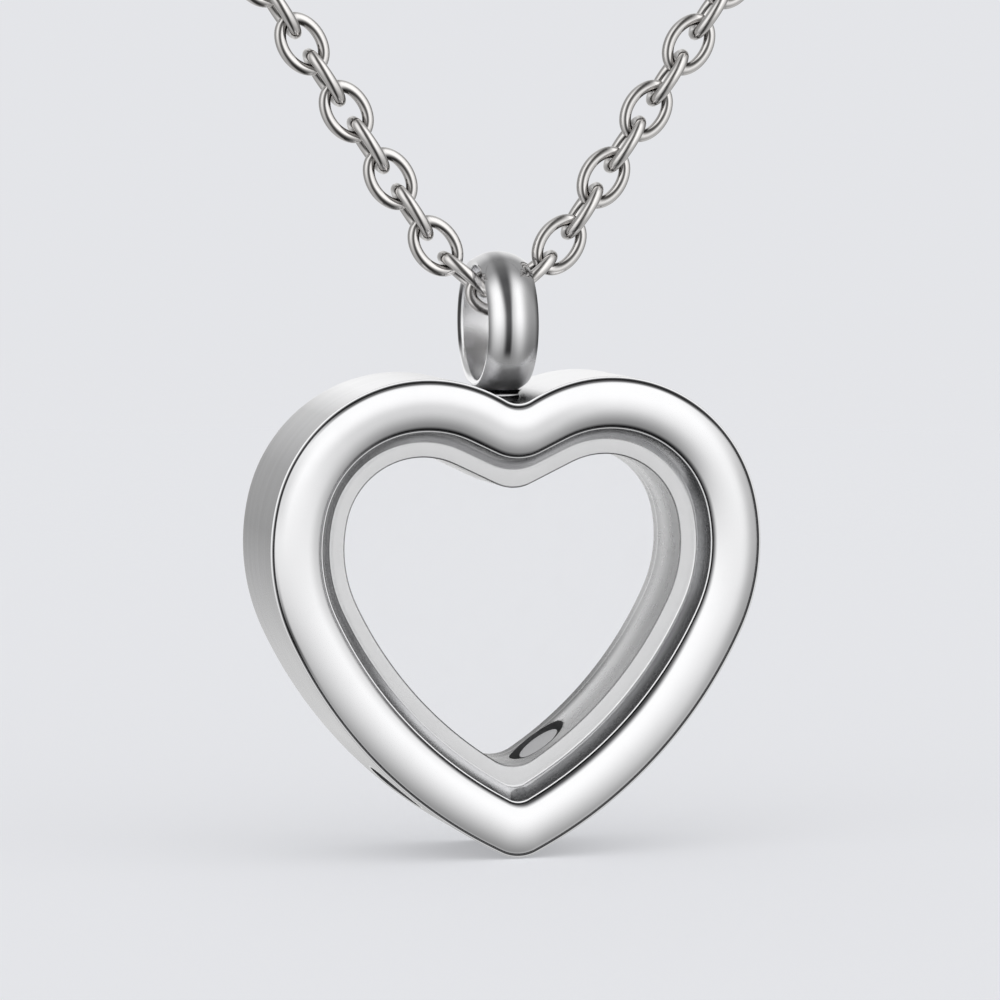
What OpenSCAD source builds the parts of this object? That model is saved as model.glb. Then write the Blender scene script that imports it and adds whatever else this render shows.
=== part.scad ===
// Keepsake urn pendant: a hollow steel heart with a glass pane on each side,
// two filler screws in its lower edges, a soldered ring bail and a cable chain.
// Millimetres, +Z up. The heart faces -Y. The origin is the nape of the neck,
// at the middle of the clasp, where the necklace hangs.

/* [Heart case] */
// Overall width of the heart
heart_w = 24; // [22:0.5:27]
// Radius of the two upper lobes
lobe_r = 7.5; // [7.1:0.1:7.9]
// Radius of the shoulder arc below each lobe
shoulder_r = 10; // [9.5:0.1:11]
// Radius of the long lower side
side_r = 22.1; // [21.5:0.1:24]
// Direction in which the lobe runs into the shoulder, in degrees
shoulder_angle = 13.5; // [5:0.5:20]
// Direction in which the shoulder runs into the lower side, in degrees
side_angle = -25.2; // [-30:0.1:-20]
// Radius of the hollow of the notch
notch_r = 1.2; // [0.7:0.05:1.6]
// Slope of the outer wall's flanks beside the notch, in degrees
notch_slope = 30; // [26:0.5:32]
// Radius of the outer tip
tip_r = 1.9; // [1.4:0.05:2.4]
// Depth of the case between its two front edges
case_depth = 6.4; // [6:0.1:8]

/* [Bezel and ledge] */
// Width of the domed bezel
bezel_w = 2.45; // [2.2:0.05:2.75]
// Height of the dome above the edge of the case
bezel_rise = 0.3; // [0.1:0.05:0.5]
// Bevel between the outer wall and the dome
edge_bevel = 0.12; // [0.05:0.01:0.2]
// Corner radius of the bezel's opening at the tip
bezel_tip_r = 1; // [0.7:0.05:1.4]
// Radius of the bezel's opening under the notch
bezel_notch_r = 2.4; // [1.8:0.1:3]
// Width of the sloped wall inside the bezel
slope_w = 0.59; // [0.4:0.01:0.75]
// Depth from the bezel's inner edge down to the ledge
ledge_drop = 0.97; // [0.85:0.01:1.1]
// Width of the ledge that carries the glass
ledge_w = 0.74; // [0.5:0.02:0.9]
// Corner radius of the glass and of the ledge's outer edge
glass_tip_r = 1.2; // [0.8:0.05:1.8]
// Radius of the glass and of the ledge's outer edge under the notch
glass_notch_r = 2.6; // [2:0.1:3.4]
// Corner radius of the chamber at the tip
chamber_tip_r = 1.85; // [1.2:0.05:2.2]
// Radius of the chamber under the notch
chamber_notch_r = 1.9; // [1.4:0.1:2.6]
// Slope of the inner outlines' flanks beside the notch, in degrees
inner_slope = 25.5; // [22:0.5:28]

/* [Glass] */
// Thickness of each pane
glass_t = 0.5; // [0.3:0.05:0.8]
// Bonding gap between pane and ledge
glass_gap = 0.03; // [0.02:0.01:0.1]
// Gap round the edge of a pane
glass_side_gap = 0.06; // [0.03:0.01:0.2]

/* [Filler screws] */
// Direction of the left port, below the horizontal
port_angle_left = 50; // [48:0.5:54]
// Direction of the right port, below the horizontal
port_angle_right = 54.5; // [48:0.5:55]
// Diameter of the screw's shank
screw_d = 2.2; // [1.6:0.05:2.4]
// Running clearance of the shank, on the diameter
screw_clearance = 0.08; // [0.04:0.01:0.18]
// Diameter of the screw's head
head_d = 2.9; // [2.7:0.05:3.2]
// Thickness of the head
head_t = 0.55; // [0.45:0.05:0.8]
// Clearance round and under the head
head_clearance = 0.1; // [0.05:0.01:0.15]
// Depth of the head below the outer wall
head_recess = 0.35; // [0.3:0.05:0.6]
// Diameter of the recess round the screw's inner end
inner_recess_d = 3.1; // [2.8:0.05:3.3]
// Depth of that recess
inner_recess = 0.4; // [0.2:0.05:0.6]
// Distance of the screw's inner end behind the chamber wall
screw_end_gap = 0.1; // [0.05:0.01:0.2]
// Width across the flats of the socket
socket_w = 1; // [0.7:0.05:1.3]
// Depth of the socket
socket_depth = 0.35; // [0.2:0.05:0.4]

/* [Bail] */
// Inside diameter of the bail
bail_bore_d = 5.4; // [5.2:0.05:5.5]
// Outside diameter at its two edges
bail_edge_d = 6; // [5.96:0.02:6.3]
// Outside diameter at the middle of its dome
bail_d = 6.85; // [6.7:0.05:7.2]
// Width of the band
bail_w = 2.45; // [2.2:0.05:2.6]
// Rounding of the bore's edges
bail_bore_round = 0.25; // [0.1:0.05:0.25]
// Height of the band's lowest point above the bottom of the notch
bail_lift = 0.3; // [0.2:0.05:0.6]
// Distance by which the bail stands left of the heart's middle, as in the photo
bail_shift = 0.2; // [0:0.05:0.3]
// Width of the solder under the band
solder_w = 2; // [1.5:0.1:2.2]
// Depth of the solder, front to back
solder_d = 2.2; // [1.5:0.1:2.6]

/* [Chain] */
// Length of the closed chain, clasp included
chain_len = 450; // [420:10:520]
// Length of a link, outside
link_len = 3.24; // [3.1:0.02:3.4]
// Width of a link, outside
link_w = 2.38; // [2.28:0.02:2.5]
// Diameter of the wire
link_wire = 0.57; // [0.5:0.01:0.58]
// Play between two links in a straight stretch
link_play = 0.18; // [0.12:0.01:0.25]
// Play between two links where the chain bends at the bail
bend_play = 0.12; // [0.1:0.01:0.2]
// Gap between the bail's bore and the link that carries it
hang_gap = 0.05; // [0.04:0.01:0.1]
// Rise of the links beside the bail, in degrees
first_rise = 40; // [34:1:41]
// Rise of the next links
second_rise = 52; // [46:1:54]
// Rise of the straight legs
leg_rise = 56.2; // [54:0.2:60]
// Links made one by one on each side of the middle link
front_links = 15; // [12:1:18]
// Diameter of the plain stretch round the neck
back_d = 2; // [1.6:0.1:2.4]
// Gap between the links and the plain stretch
back_gap = 0.15; // [0.1:0.05:0.3]
// Height over which the legs hang plumb before they lean back
plumb_h = 32; // [30:1:36]
// Radius of the lean back over the chest
lean_r = 100; // [90:1:115]

/* [Clasp] */
// Length of the clasp
clasp_len = 10; // [9:0.5:12]
// Width of the clasp
clasp_w = 4.6; // [4.2:0.1:5]
// Thickness of the clasp
clasp_t = 1.8; // [1.4:0.1:2]
// Width of the clasp's frame round its opening
clasp_frame = 1.1; // [0.9:0.1:1.2]
// Diameter of the eye
eye_d = 1.7; // [1.5:0.1:1.8]
// Wall of the eye
eye_wall = 0.7; // [0.6:0.1:0.9]
// Outside diameter of the ring that the clasp holds
hook_ring_d = 4.4; // [4:0.1:5]
// Outside diameter of the ring through the eye
eye_ring_d = 3.8; // [3.4:0.1:4.2]
// Wire of both rings
ring_wire = 0.7; // [0.6:0.05:0.8]
// Gap between a ring and what it passes through
ring_gap = 0.1; // [0.06:0.02:0.15]

/* [Hidden] */
steel = [0.80, 0.80, 0.81];
steel_dark = [0.66, 0.66, 0.67];
pane = [0.86, 0.93, 0.95, 0.4];
smooth = 96;
notch_steps = 4;
lobe_steps = 18;
shoulder_steps = 8;
side_steps = 12;
tip_steps = 5;
dome_steps = 6;
link_sides = 14;
wire_sides = 6;
back_sides = 8;
back_rings = 38;

// Largest share of the slope at which a flank beside the notch would have no length
flank_share = 0.97;

// Heart outline: arcs of notch, lobe, shoulder, side and tip on each side, tangent to each
// other, with a straight flank between notch and lobe.
// A centre is a point [x, z] on the right half; the left half is its mirror image.
function along(angle) = [cos(angle), sin(angle)];
lobe_c = [heart_w / 2 - lobe_r, 0];
shoulder_c = lobe_c - (shoulder_r - lobe_r) * along(shoulder_angle);
side_c = shoulder_c - (side_r - shoulder_r) * along(side_angle);
// Radius, slope and height of the notch's arc, for an outline set in by inset
function notch_radius(inset) = lookup(inset,
    [[0, notch_r], [bezel_w, bezel_notch_r], [glass_inset, glass_notch_r], [wall, chamber_notch_r]]);
function notch_span(inset) = lobe_r - inset + notch_radius(inset);
function flank_slope(inset) = min(
    lookup(inset, [[0, notch_slope], [bezel_w, inner_slope], [wall, inner_slope]]),
    flank_share * asin(min(1, lobe_c.x / notch_span(inset))));
function notch_height(inset) = let (q = flank_slope(inset), span = notch_span(inset))
    span * cos(q) - (lobe_c.x - span * sin(q)) * tan(q);
// Height of the tip's centre below the lobes, for an outline set in by inset
function tip_drop(inset, tip) = sqrt((side_r - inset - tip) ^ 2 - side_c.x ^ 2) - side_c.y;
function tip_angle(inset, tip) = atan2(-tip_drop(inset, tip) - side_c.y, -side_c.x);

half_depth = case_depth / 2;
ledge_y = half_depth - ledge_drop;
glass_inset = bezel_w + slope_w;
wall = glass_inset + ledge_w;

notch_floor = notch_height(0) - notch_r;
bail_z = notch_floor + bail_lift + bail_d / 2;
screw_bore_d = screw_d + screw_clearance;
head_bore_d = head_d + 2 * head_clearance;
head_bore = head_recess + head_t + head_clearance;

// Half length and half width of a link's centre line
half_l = (link_len - link_wire) / 2;
half_w = (link_w - link_wire) / 2;
pitch = link_len - 2 * link_wire - link_play;
half_len = chain_len / 2;
middle_z = bail_z + bail_bore_d / 2 - hang_gap - link_w / 2;

// Point of a link's centre line whose normal has the given direction
function link_point(dir) =
    [half_l ^ 2 * cos(dir), half_w ^ 2 * sin(dir)]
    / sqrt((half_l * cos(dir)) ^ 2 + (half_w * sin(dir)) ^ 2);
function turned(p, angle) = [p.x * cos(angle) - p.y * sin(angle), p.x * sin(angle) + p.y * cos(angle)];

// Places of the first links in the plane of the legs, from the middle link's centre:
// an edge-on link slides round the end of the face-on link that holds it.
function edge_link(c, rise, next_rise) =
    c + turned(link_point(next_rise - rise), rise)
    + (half_l - link_wire - bend_play) * along(next_rise);
function face_link(c, rise, next_rise) =
    c + (half_l - link_wire - bend_play) * along(rise)
    - turned(link_point(180 + rise - next_rise), next_rise);
link_1 = edge_link([0, 0], 0, first_rise);
link_2 = face_link(link_1, first_rise, second_rise);
link_3 = edge_link(link_2, second_rise, leg_rise);

// Flat route from the third link: a straight leg, then an arc over the nape.
// The leg's length makes the whole loop as long as the chain.
turn = (180 - leg_rise) * PI / 180;
route_len = half_len - 3 * pitch;
leg_len = (route_len - link_3.x * turn / sin(leg_rise)) / (1 + turn / tan(leg_rise));
neck_r = (link_3.x + leg_len * cos(leg_rise)) / sin(leg_rise);
leg_end = link_3 + leg_len * along(leg_rise);
neck_c = leg_end + neck_r * along(leg_rise + 90);
function flat_point(s) = s < leg_len
    ? link_3 + s * along(leg_rise)
    : neck_c + neck_r * along(leg_rise - 90 + (s - leg_len) / neck_r * 180 / PI);

// The flat route is bent without stretching: plumb at first, then leaning back.
function lean(h) = max(0, h - plumb_h) / lean_r * 180 / PI;
function bent(p) = p.y < plumb_h
    ? [p.x, 0, middle_z + p.y]
    : [p.x, lean_r * (1 - cos(lean(p.y))), middle_z + plumb_h + lean_r * sin(lean(p.y))];
function face_normal(h) = [0, -cos(lean(h)), sin(lean(h))];
nape_h = neck_c.y + neck_r;
nape = bent([0, nape_h]);
hook_bar = clasp_len / 2;
// The hook ring stands so that the bar's inner corners just clear its hole
hook_ring_x = hook_bar - clasp_frame
    + sqrt((hook_ring_d / 2 - ring_wire - ring_gap) ^ 2 - (clasp_t / 2) ^ 2);
eye_x = -clasp_len / 2 + eye_wall + eye_d / 2;
eye_ring_x = eye_x - eye_ring_d / 2 + ring_wire / 2;
hook_reach = hook_ring_x + hook_ring_d / 2 + ring_gap + back_gap;
eye_reach = -eye_ring_x + eye_ring_d / 2 + ring_gap + back_gap;

function unit(v) = v / norm(v);
function spot(s) = bent(flat_point(s));
function spot_normal(s) = face_normal(flat_point(s).y);

// Ring of wire round an oval: u runs along the link, v across it, w through its face
module oval_link(c, u, v) {
    w = cross(u, v);
    rings = [for (i = [0:link_sides - 1]) let (t = 360 * i / link_sides,
             mid = c + half_l * cos(t) * u + half_w * sin(t) * v,
             out = unit(half_w * cos(t) * u + half_l * sin(t) * v))
             for (k = [0:wire_sides - 1]) let (q = 360 * (k + 0.5) / wire_sides)
             mid + link_wire / 2 * (cos(q) * out + sin(q) * w)];
    skin = [for (i = [0:link_sides - 1], k = [0:wire_sides - 1])
            let (i2 = (i + 1) % link_sides, k2 = (k + 1) % wire_sides)
            [i * wire_sides + k, i * wire_sides + k2, i2 * wire_sides + k2, i2 * wire_sides + k]];
    polyhedron(points = rings, faces = skin, convexity = 4);
}

// A link seen from the front, or turned to show its edge
module placed_link(c, dir, normal, edge_on) {
    across = cross(normal, dir);
    oval_link(c, dir, edge_on ? normal : across);
}

// Tube along the route from arc length s0 to s1, closed at both ends
module route_tube(s0, s1) {
    steps = [for (i = [0:back_rings]) s0 + (s1 - s0) * i / back_rings];
    last = len(steps) - 1;
    dx = 0.01;
    rings = [for (s = steps) let (d = unit(spot(s + dx) - spot(s - dx)), n = spot_normal(s), a = cross(n, d))
             for (k = [0:back_sides - 1]) let (q = 360 * k / back_sides)
             spot(s) + back_d / 2 * (cos(q) * a + sin(q) * n)];
    skin = [for (i = [0:last - 1], k = [0:back_sides - 1]) let (k2 = (k + 1) % back_sides)
            [i * back_sides + k, (i + 1) * back_sides + k, (i + 1) * back_sides + k2, i * back_sides + k2]];
    caps = [[for (k = [0:back_sides - 1]) k], [for (k = [back_sides - 1:-1:0]) last * back_sides + k]];
    polyhedron(points = rings, faces = concat(skin, caps), convexity = 6);
}

// Points of one arc, without its last
function arc_points(c, r, from, to, count) =
    [for (i = [0:count - 1]) c + r * along(from + (to - from) * i / count)];

// Right half of the outline set in by inset, from the notch down to the tip
function half_outline(inset, tip) = concat(
    arc_points([0, notch_height(inset)], notch_radius(inset), -90, flank_slope(inset) - 90, notch_steps),
    [[0, notch_height(inset)] + notch_radius(inset) * along(flank_slope(inset) - 90)],
    arc_points(lobe_c, lobe_r - inset, 90 + flank_slope(inset), shoulder_angle, lobe_steps),
    arc_points(shoulder_c, shoulder_r - inset, shoulder_angle, side_angle, shoulder_steps),
    arc_points(side_c, side_r - inset, side_angle, tip_angle(inset, tip), side_steps),
    arc_points([0, -tip_drop(inset, tip)], tip, tip_angle(inset, tip), -90, tip_steps),
    [[0, -tip_drop(inset, tip) - tip]]);

// The left half is the mirror image, from the tip back up to the notch
function outline(inset, tip) = let (right = half_outline(inset, tip), last = len(right) - 1)
    concat(right, [for (i = [last - 1:-1:1]) [-right[i].x, right[i].y]]);

// Corner radius at the tip for any inset between the outer wall and the chamber
function tip_radius(inset) =
    lookup(inset, [[0, tip_r], [bezel_w, bezel_tip_r], [glass_inset, glass_tip_r], [wall, chamber_tip_r]]);

// Section of the rim, front half: each point is [inset, depth from the middle].
// A bevel, the bezel's dome as an arc over its chord, the slope and the ledge.
function rim_section() = let (chord = bezel_w - edge_bevel,
    dome_r = (chord ^ 2 / 4 + bezel_rise ^ 2) / (2 * bezel_rise),
    spread = asin(chord / 2 / dome_r))
    concat([[0, half_depth - edge_bevel]],
           [for (i = [0:dome_steps]) let (q = spread * (2 * i / dome_steps - 1))
            [edge_bevel + chord / 2 + dome_r * sin(q), half_depth + bezel_rise + dome_r * (cos(q) - 1)]],
           [[glass_inset, ledge_y], [wall, ledge_y]]);

// The section carried round the heart, front half and back half, as one closed skin
module rim() {
    front = rim_section();
    last = len(front) - 1;
    section = concat(front, [for (i = [last:-1:0]) [front[i].x, -front[i].y]]);
    loops = [for (q = section) [for (v = outline(q.x, tip_radius(q.x))) [v.x, v.y, q.y]]];
    rows = len(section);
    count = len(loops[0]);
    skin = [for (m = [0:rows - 1], j = [0:count - 1]) let (m2 = (m + 1) % rows, j2 = (j + 1) % count)
            [m * count + j, m * count + j2, m2 * count + j2, m2 * count + j]];
    polyhedron(points = [for (l = loops) each l], faces = skin, convexity = 8);
}

// Body of a port's cutter or screw: a cylinder on the port's axis from depth a to depth b
module on_port(angle, a, b, d, sides = smooth) {
    translate(side_c) rotate(-angle) translate([side_r - b, 0, 0])
        rotate([0, 90, 0]) cylinder(h = b - a, d = d, $fn = sides);
}

module port_cut(angle) {
    beyond = 1;
    on_port(angle, -beyond, head_bore, head_bore_d);
    on_port(angle, head_bore - beyond / 2, wall + beyond, screw_bore_d);
    on_port(angle, wall - inner_recess, wall + beyond, inner_recess_d);
}

module screw_shape(angle) {
    under_head = head_recess + head_t;
    difference() {
        union() {
            on_port(angle, head_recess, under_head, head_d);
            on_port(angle, under_head - head_t / 2, wall - screw_end_gap, screw_d);
        }
        on_port(angle, head_recess - socket_depth, head_recess + socket_depth, socket_w / cos(30), 6);
    }
}

// Section of the bail: x is the radius, y lies along its axis
module bail_section() {
    edge_r = bail_edge_d / 2;
    rise = bail_d / 2 - edge_r;
    dome_r = (bail_w ^ 2 / 4 + rise ^ 2) / (2 * rise);
    bore_r = bail_bore_d / 2;
    difference() {
        intersection() {
            translate([bail_d / 2 - dome_r, 0]) circle(dome_r, $fn = 2 * smooth);
            translate([bore_r, -bail_w / 2]) square([bail_d - bore_r, bail_w]);
        }
        for (side = [0, 1]) mirror([0, side]) translate([bore_r, bail_w / 2]) difference() {
            square(2 * bail_bore_round, center = true);
            translate([bail_bore_round, -bail_bore_round]) circle(bail_bore_round, $fn = smooth);
        }
    }
}

module bail() {
    translate([0, bail_z, 0]) rotate([0, 90, 0]) rotate_extrude($fn = 2 * smooth) bail_section();
}

module solder() {
    top = bail_z - bail_edge_d / 2 + bail_lift / 2;
    foot = notch_floor - bail_lift;
    band_d = (bail_bore_d + bail_edge_d) / 2;
    difference() {
        translate([-solder_w / 2, foot, -solder_d / 2]) cube([solder_w, top - foot, solder_d]);
        translate([0, bail_z, 0]) rotate([0, 90, 0])
            cylinder(h = 2 * bail_w, d = band_d, center = true, $fn = 2 * smooth);
    }
}

// Stands the heart up: what was drawn flat faces -Y, and the origin moves to the nape, over the bail
module hung() {
    translate([bail_shift, 0, 0] - nape) rotate([90, 0, 0]) children();
}

module heart_case() {
    color(steel) hung() {
        difference() {
            rim();
            mirror([1, 0, 0]) port_cut(port_angle_left);
            port_cut(port_angle_right);
        }
        translate([-bail_shift, 0, 0]) {
            bail();
            solder();
        }
    }
}

module glass_pane() {
    translate([0, 0, ledge_y + glass_gap]) linear_extrude(glass_t)
        polygon(outline(glass_inset + glass_side_gap, glass_tip_r));
}

module front_glass() {
    color(pane) hung() glass_pane();
}

module back_glass() {
    color(pane) hung() mirror([0, 0, 1]) glass_pane();
}

module screw_left() {
    color(steel_dark) hung() mirror([1, 0, 0]) screw_shape(port_angle_left);
}

module screw_right() {
    color(steel_dark) hung() screw_shape(port_angle_right);
}

// The middle link inside the bail, then the same links on both sides
module chain_front() {
    front = [0, -1, 0];
    low = [link_1, link_2];
    rises = [first_rise, second_rise];
    color(steel_dark) translate(-nape) {
        placed_link(bent([0, 0]), [1, 0, 0], front, false);
        for (side = [1, -1]) {
            for (i = [0, 1]) {
                c = bent([side * low[i].x, low[i].y]);
                placed_link(c, [side * cos(rises[i]), 0, sin(rises[i])], front, i == 0);
            }
            for (i = [3:front_links]) {
                s = (i - 3) * pitch;
                d = unit(spot(s + pitch / 2) - spot(s - pitch / 2));
                c = spot(s);
                n = spot_normal(s);
                placed_link([side * c.x, c.y, c.z], [side * d.x, d.y, d.z], n, i % 2 == 1);
            }
        }
    }
}

// The stretch round the neck, in two halves that end at the clasp's rings
module chain_back() {
    start = (front_links - 2.5) * pitch + link_wire + back_gap;
    color(steel_dark) translate(-nape) {
        route_tube(start, route_len - hook_reach);
        mirror([1, 0, 0]) route_tube(start, route_len - eye_reach);
    }
}

// At the nape: x runs along the chain, y across it in the chain's own surface
module at_nape() {
    rotate([90 - lean(nape_h), 0, 0]) children();
}

module clasp() {
    r = clasp_w / 2;
    slot_r = r - clasp_frame;
    body_x = hook_bar - r;
    slot_x = eye_x + eye_d / 2 + clasp_frame + slot_r;
    color(steel) at_nape() linear_extrude(clasp_t, center = true) difference() {
        union() {
            translate([body_x, 0]) circle(r, $fn = smooth);
            translate([slot_x, -r]) square([body_x - slot_x, clasp_w]);
            translate([slot_x, 0]) circle(r, $fn = smooth);
            translate([eye_x, 0]) circle(eye_d / 2 + eye_wall, $fn = smooth);
        }
        translate([body_x, 0]) circle(slot_r, $fn = smooth);
        translate([slot_x, -slot_r]) square([body_x - slot_x, 2 * slot_r]);
        translate([slot_x, 0]) circle(slot_r, $fn = smooth);
        translate([eye_x, 0]) circle(eye_d / 2, $fn = smooth);
    }
}

// Round ring standing across the clasp
module wire_ring(x, d) {
    color(steel) at_nape() translate([x, 0, 0]) rotate([90, 0, 0]) rotate_extrude($fn = 2 * smooth)
        translate([(d - ring_wire) / 2, 0]) circle(d = ring_wire, $fn = smooth / 2);
}

module hook_ring() {
    wire_ring(hook_ring_x, hook_ring_d);
}

module eye_ring() {
    wire_ring(eye_ring_x, eye_ring_d);
}

heart_case();
front_glass();
back_glass();
screw_left();
screw_right();
chain_front();
chain_back();
clasp();
hook_ring();
eye_ring();
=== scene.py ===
import bmesh
import bpy
import numpy as np
from mathutils import Matrix


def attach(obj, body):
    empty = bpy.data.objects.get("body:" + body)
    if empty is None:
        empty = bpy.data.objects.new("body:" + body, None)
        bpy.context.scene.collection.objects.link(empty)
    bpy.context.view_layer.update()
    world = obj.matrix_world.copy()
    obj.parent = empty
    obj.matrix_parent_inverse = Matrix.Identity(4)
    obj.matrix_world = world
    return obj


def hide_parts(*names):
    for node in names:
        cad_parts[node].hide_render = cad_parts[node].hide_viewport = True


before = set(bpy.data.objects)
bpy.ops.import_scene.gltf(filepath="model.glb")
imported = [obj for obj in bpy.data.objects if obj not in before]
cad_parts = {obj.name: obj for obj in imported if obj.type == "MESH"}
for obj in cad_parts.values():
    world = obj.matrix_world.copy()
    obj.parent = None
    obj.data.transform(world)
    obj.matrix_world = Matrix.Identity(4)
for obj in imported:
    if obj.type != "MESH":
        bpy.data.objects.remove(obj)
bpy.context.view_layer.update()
print("frame loaded:", len(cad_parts), "nodes")

mm = 0.001
heartAt = np.array([0.2, -82.206631, -141.837066])  # the heart's own origin, seen from the nape
bailAt = np.array([0.0, -82.206631, -141.837066])  # the same height and depth in the bail's middle plane
capScale, capJoin = 1e-4, 1e-6  # share of a piece's width that its end rings keep, and what closes them, in m
nowhere = -2.0  # stands in a list of places for rows that lie elsewhere
closeBy = 0.001  # points this near to a wall, in mm, lie on it


# Quads between the rows and columns of a grid; a wrapped side closes on its first row or column.
def gridQuads(rows, cols, wrapRows, wrapCols):
    r = np.arange(rows if wrapRows else rows - 1)[:, None]
    c = np.arange(cols if wrapCols else cols - 1)[None, :]
    r2, c2 = (r + 1) % rows, (c + 1) % cols
    corners = (r * cols + c, r * cols + c2, r2 * cols + c2, r2 * cols + c)
    return np.stack(corners, -1).reshape(-1, 4)


# A smooth mesh from points in millimetres and quads, with a float attribute for each named array.
def addMesh(name, points, quads, values=None, flip=False):
    quads = np.ascontiguousarray(quads[:, ::-1] if flip else quads, dtype=np.int32)
    points = np.ascontiguousarray(points.reshape(-1, 3) * mm, dtype=np.float32)
    mesh = bpy.data.meshes.new(name)
    mesh.vertices.add(len(points))
    mesh.vertices.foreach_set("co", points.ravel())
    mesh.loops.add(quads.size)
    mesh.loops.foreach_set("vertex_index", quads.ravel())
    mesh.polygons.add(len(quads))
    mesh.polygons.foreach_set("loop_start", np.arange(0, quads.size, 4, dtype=np.int32))
    mesh.polygons.foreach_set("use_smooth", np.ones(len(quads), dtype=bool))
    for key, array in (values or {}).items():
        layer = mesh.attributes.new(key, "FLOAT", "POINT")
        layer.data.foreach_set("value", np.ascontiguousarray(array, dtype=np.float32).ravel())
    mesh.update(calc_edges=True)
    mesh.validate()
    piece = bpy.data.objects.new(name, mesh)
    bpy.context.collection.objects.link(piece)
    return piece


# Draws the tiny first and last rings of a capped piece together, which closes its ends.
def closeEnds(piece):
    work = bmesh.new()
    work.from_mesh(piece.data)
    bmesh.ops.remove_doubles(work, verts=work.verts, dist=capJoin)
    bmesh.ops.recalc_face_normals(work, faces=work.faces)
    work.to_mesh(piece.data)
    work.free()
    return piece


# 0 at the first place and 1 at the second, smooth between: three times t squared less twice t cubed.
def smoothStep(low, high, x):
    t = np.clip((x - low) / (high - low), 0, 1)
    return t * t * (3 - 2 * t)


# A soft hump, 1 at its middle and nearly 0 beyond twice its width.
def hump(x, middle, width):
    return np.exp(-((x - middle) / width) ** 2)


# Points [x, height, depth] of the heart's own drawing, stood up and hung from the nape.
def standUp(x, height, depth, at=heartAt):
    x, height, depth = np.broadcast_arrays(x, height, depth)
    return np.stack([x, -depth, height], -1) + at


# A shader socket that takes part in plain arithmetic.
class Wire:
    def __init__(self, tree, socket):
        self.tree, self.socket = tree, socket

    def node(self, kind, settings, inputs, output=0):
        made = self.tree.nodes.new("ShaderNode" + kind)
        for key, value in settings.items():
            setattr(made, key, value)
        for key, value in inputs.items():
            if isinstance(value, Wire):
                self.tree.links.new(value.socket, made.inputs[key])
            else:
                made.inputs[key].default_value = value
        return Wire(self.tree, made.outputs[output] if len(made.outputs) else None)

    def math(self, operation, first, second=0.0):
        return self.node("Math", {"operation": operation}, {0: first, 1: second})

    def __add__(self, other): return self.math("ADD", self, other)
    def __sub__(self, other): return self.math("SUBTRACT", self, other)
    def __rsub__(self, other): return self.math("SUBTRACT", other, self)
    def __mul__(self, other): return self.math("MULTIPLY", self, other)
    def __pow__(self, other): return self.math("POWER", self, other)

    def step(self, low, high):  # 0 below low, 1 above high, smooth between
        spans = {"From Min": low, "From Max": high}
        return self.node("MapRange", {"interpolation_type": "SMOOTHSTEP"}, {"Value": self, **spans})

    def blend(self, colourA, colourB):  # colourA at 0, colourB at 1
        return self.node("Mix", {"data_type": "RGBA"}, {0: self, 6: colourA, 7: colourB}, 2)


# A new material with its shader, and a first wire that adds nodes to its tree.
def newMaterial(name):
    material = bpy.data.materials.new(name)
    material.use_nodes = True
    return material, material.node_tree.nodes["Principled BSDF"], Wire(material.node_tree, None)


# Wires go to the shader's sockets as links, and numbers and colours as the sockets' own values.
def feed(wire, shader, inputs):
    for key, value in inputs.items():
        if isinstance(value, Wire):
            wire.tree.links.new(value.socket, shader.inputs[key])
        else:
            shader.inputs[key].default_value = value


steels = {  # light and dark tone, roughness, roughness added by satin, grain along X, Y and Z, bump
    "caseSteel": ((0.93, 0.93, 0.94), (0.02, 0.02, 0.022), 0.06, 0.24, (60, 2600, 60), 0.06),
    "chainSteel": ((0.95, 0.93, 0.915), (0.03, 0.028, 0.026), 0.08, 0.05, (900, 900, 900), 0.03),
    # nearly black steel: painted shade inside the ports' recesses
    "portShadeSteel": ((0.13, 0.13, 0.135), (0.03, 0.03, 0.03), 0.4, 0.1, (1800, 1800, 1800), 0.05),
    # dark grey steel for the screws: painted shade of the recesses they sit in
    "screwShadeSteel": ((0.36, 0.36, 0.37), (0.1, 0.1, 0.1), 0.24, 0.1, (1500, 1500, 1500), 0.05),
    "claspSteel": ((0.80, 0.785, 0.77), (0.1, 0.1, 0.1), 0.12, 0.05, (1200, 120, 120), 0.04),
}
wear = {  # soft clouds and the lines of the grain, and what each of them adds
    "clouds": {"Scale": 900.0, "Detail": 3.0}, "lines": {"Scale": 1.0, "Detail": 4.0},
    "cloudTone": 0.06, "lineTone": 0.16, "cloudRoughness": 0.05, "lineDepth": 0.00004,
}


# Steel: a polish broken by fine wear, with a satin grain. On a painted piece its own shade value paints
# shade, highlights and reflections into the metal's colour, darkening it in its corners, and its own
# satin value sets where the grain shows.
def makeSteel(name, painted):
    light, dark, rough, satinRough, grain, bump = steels[name]
    material, shader, wire = newMaterial(name)
    place = wire.node("TexCoord", {}, {}, "Object")
    shade = wire.node("Attribute", {"attribute_name": "shade"}, {}, "Fac") if painted else 1.0
    satin = wire.node("Attribute", {"attribute_name": "satin"}, {}, "Fac") if painted else 1.0
    cloud = wire.node("TexNoise", {}, {"Vector": place, **wear["clouds"]})
    stretched = wire.node("Mapping", {}, {"Vector": place, "Scale": grain})
    lines = wire.node("TexNoise", {}, {"Vector": stretched, **wear["lines"]})
    tone = (cloud - 0.5) * wear["cloudTone"] + (lines - 0.5) * satin * wear["lineTone"] + shade
    colour = tone.blend(dark + (1,), light + (1,))
    cloudy = (cloud - 0.5) * wear["cloudRoughness"]
    relief = {"Strength": bump, "Distance": wear["lineDepth"], "Height": lines * satin}
    feed(wire, shader, {
        "Base Color": colour,
        "Metallic": 1.0,
        "Roughness": cloudy + rough + satin * satinRough if painted else cloudy + (rough + satinRough),
        "Normal": wire.node("Bump", {}, relief),
    })
    return material


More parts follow.
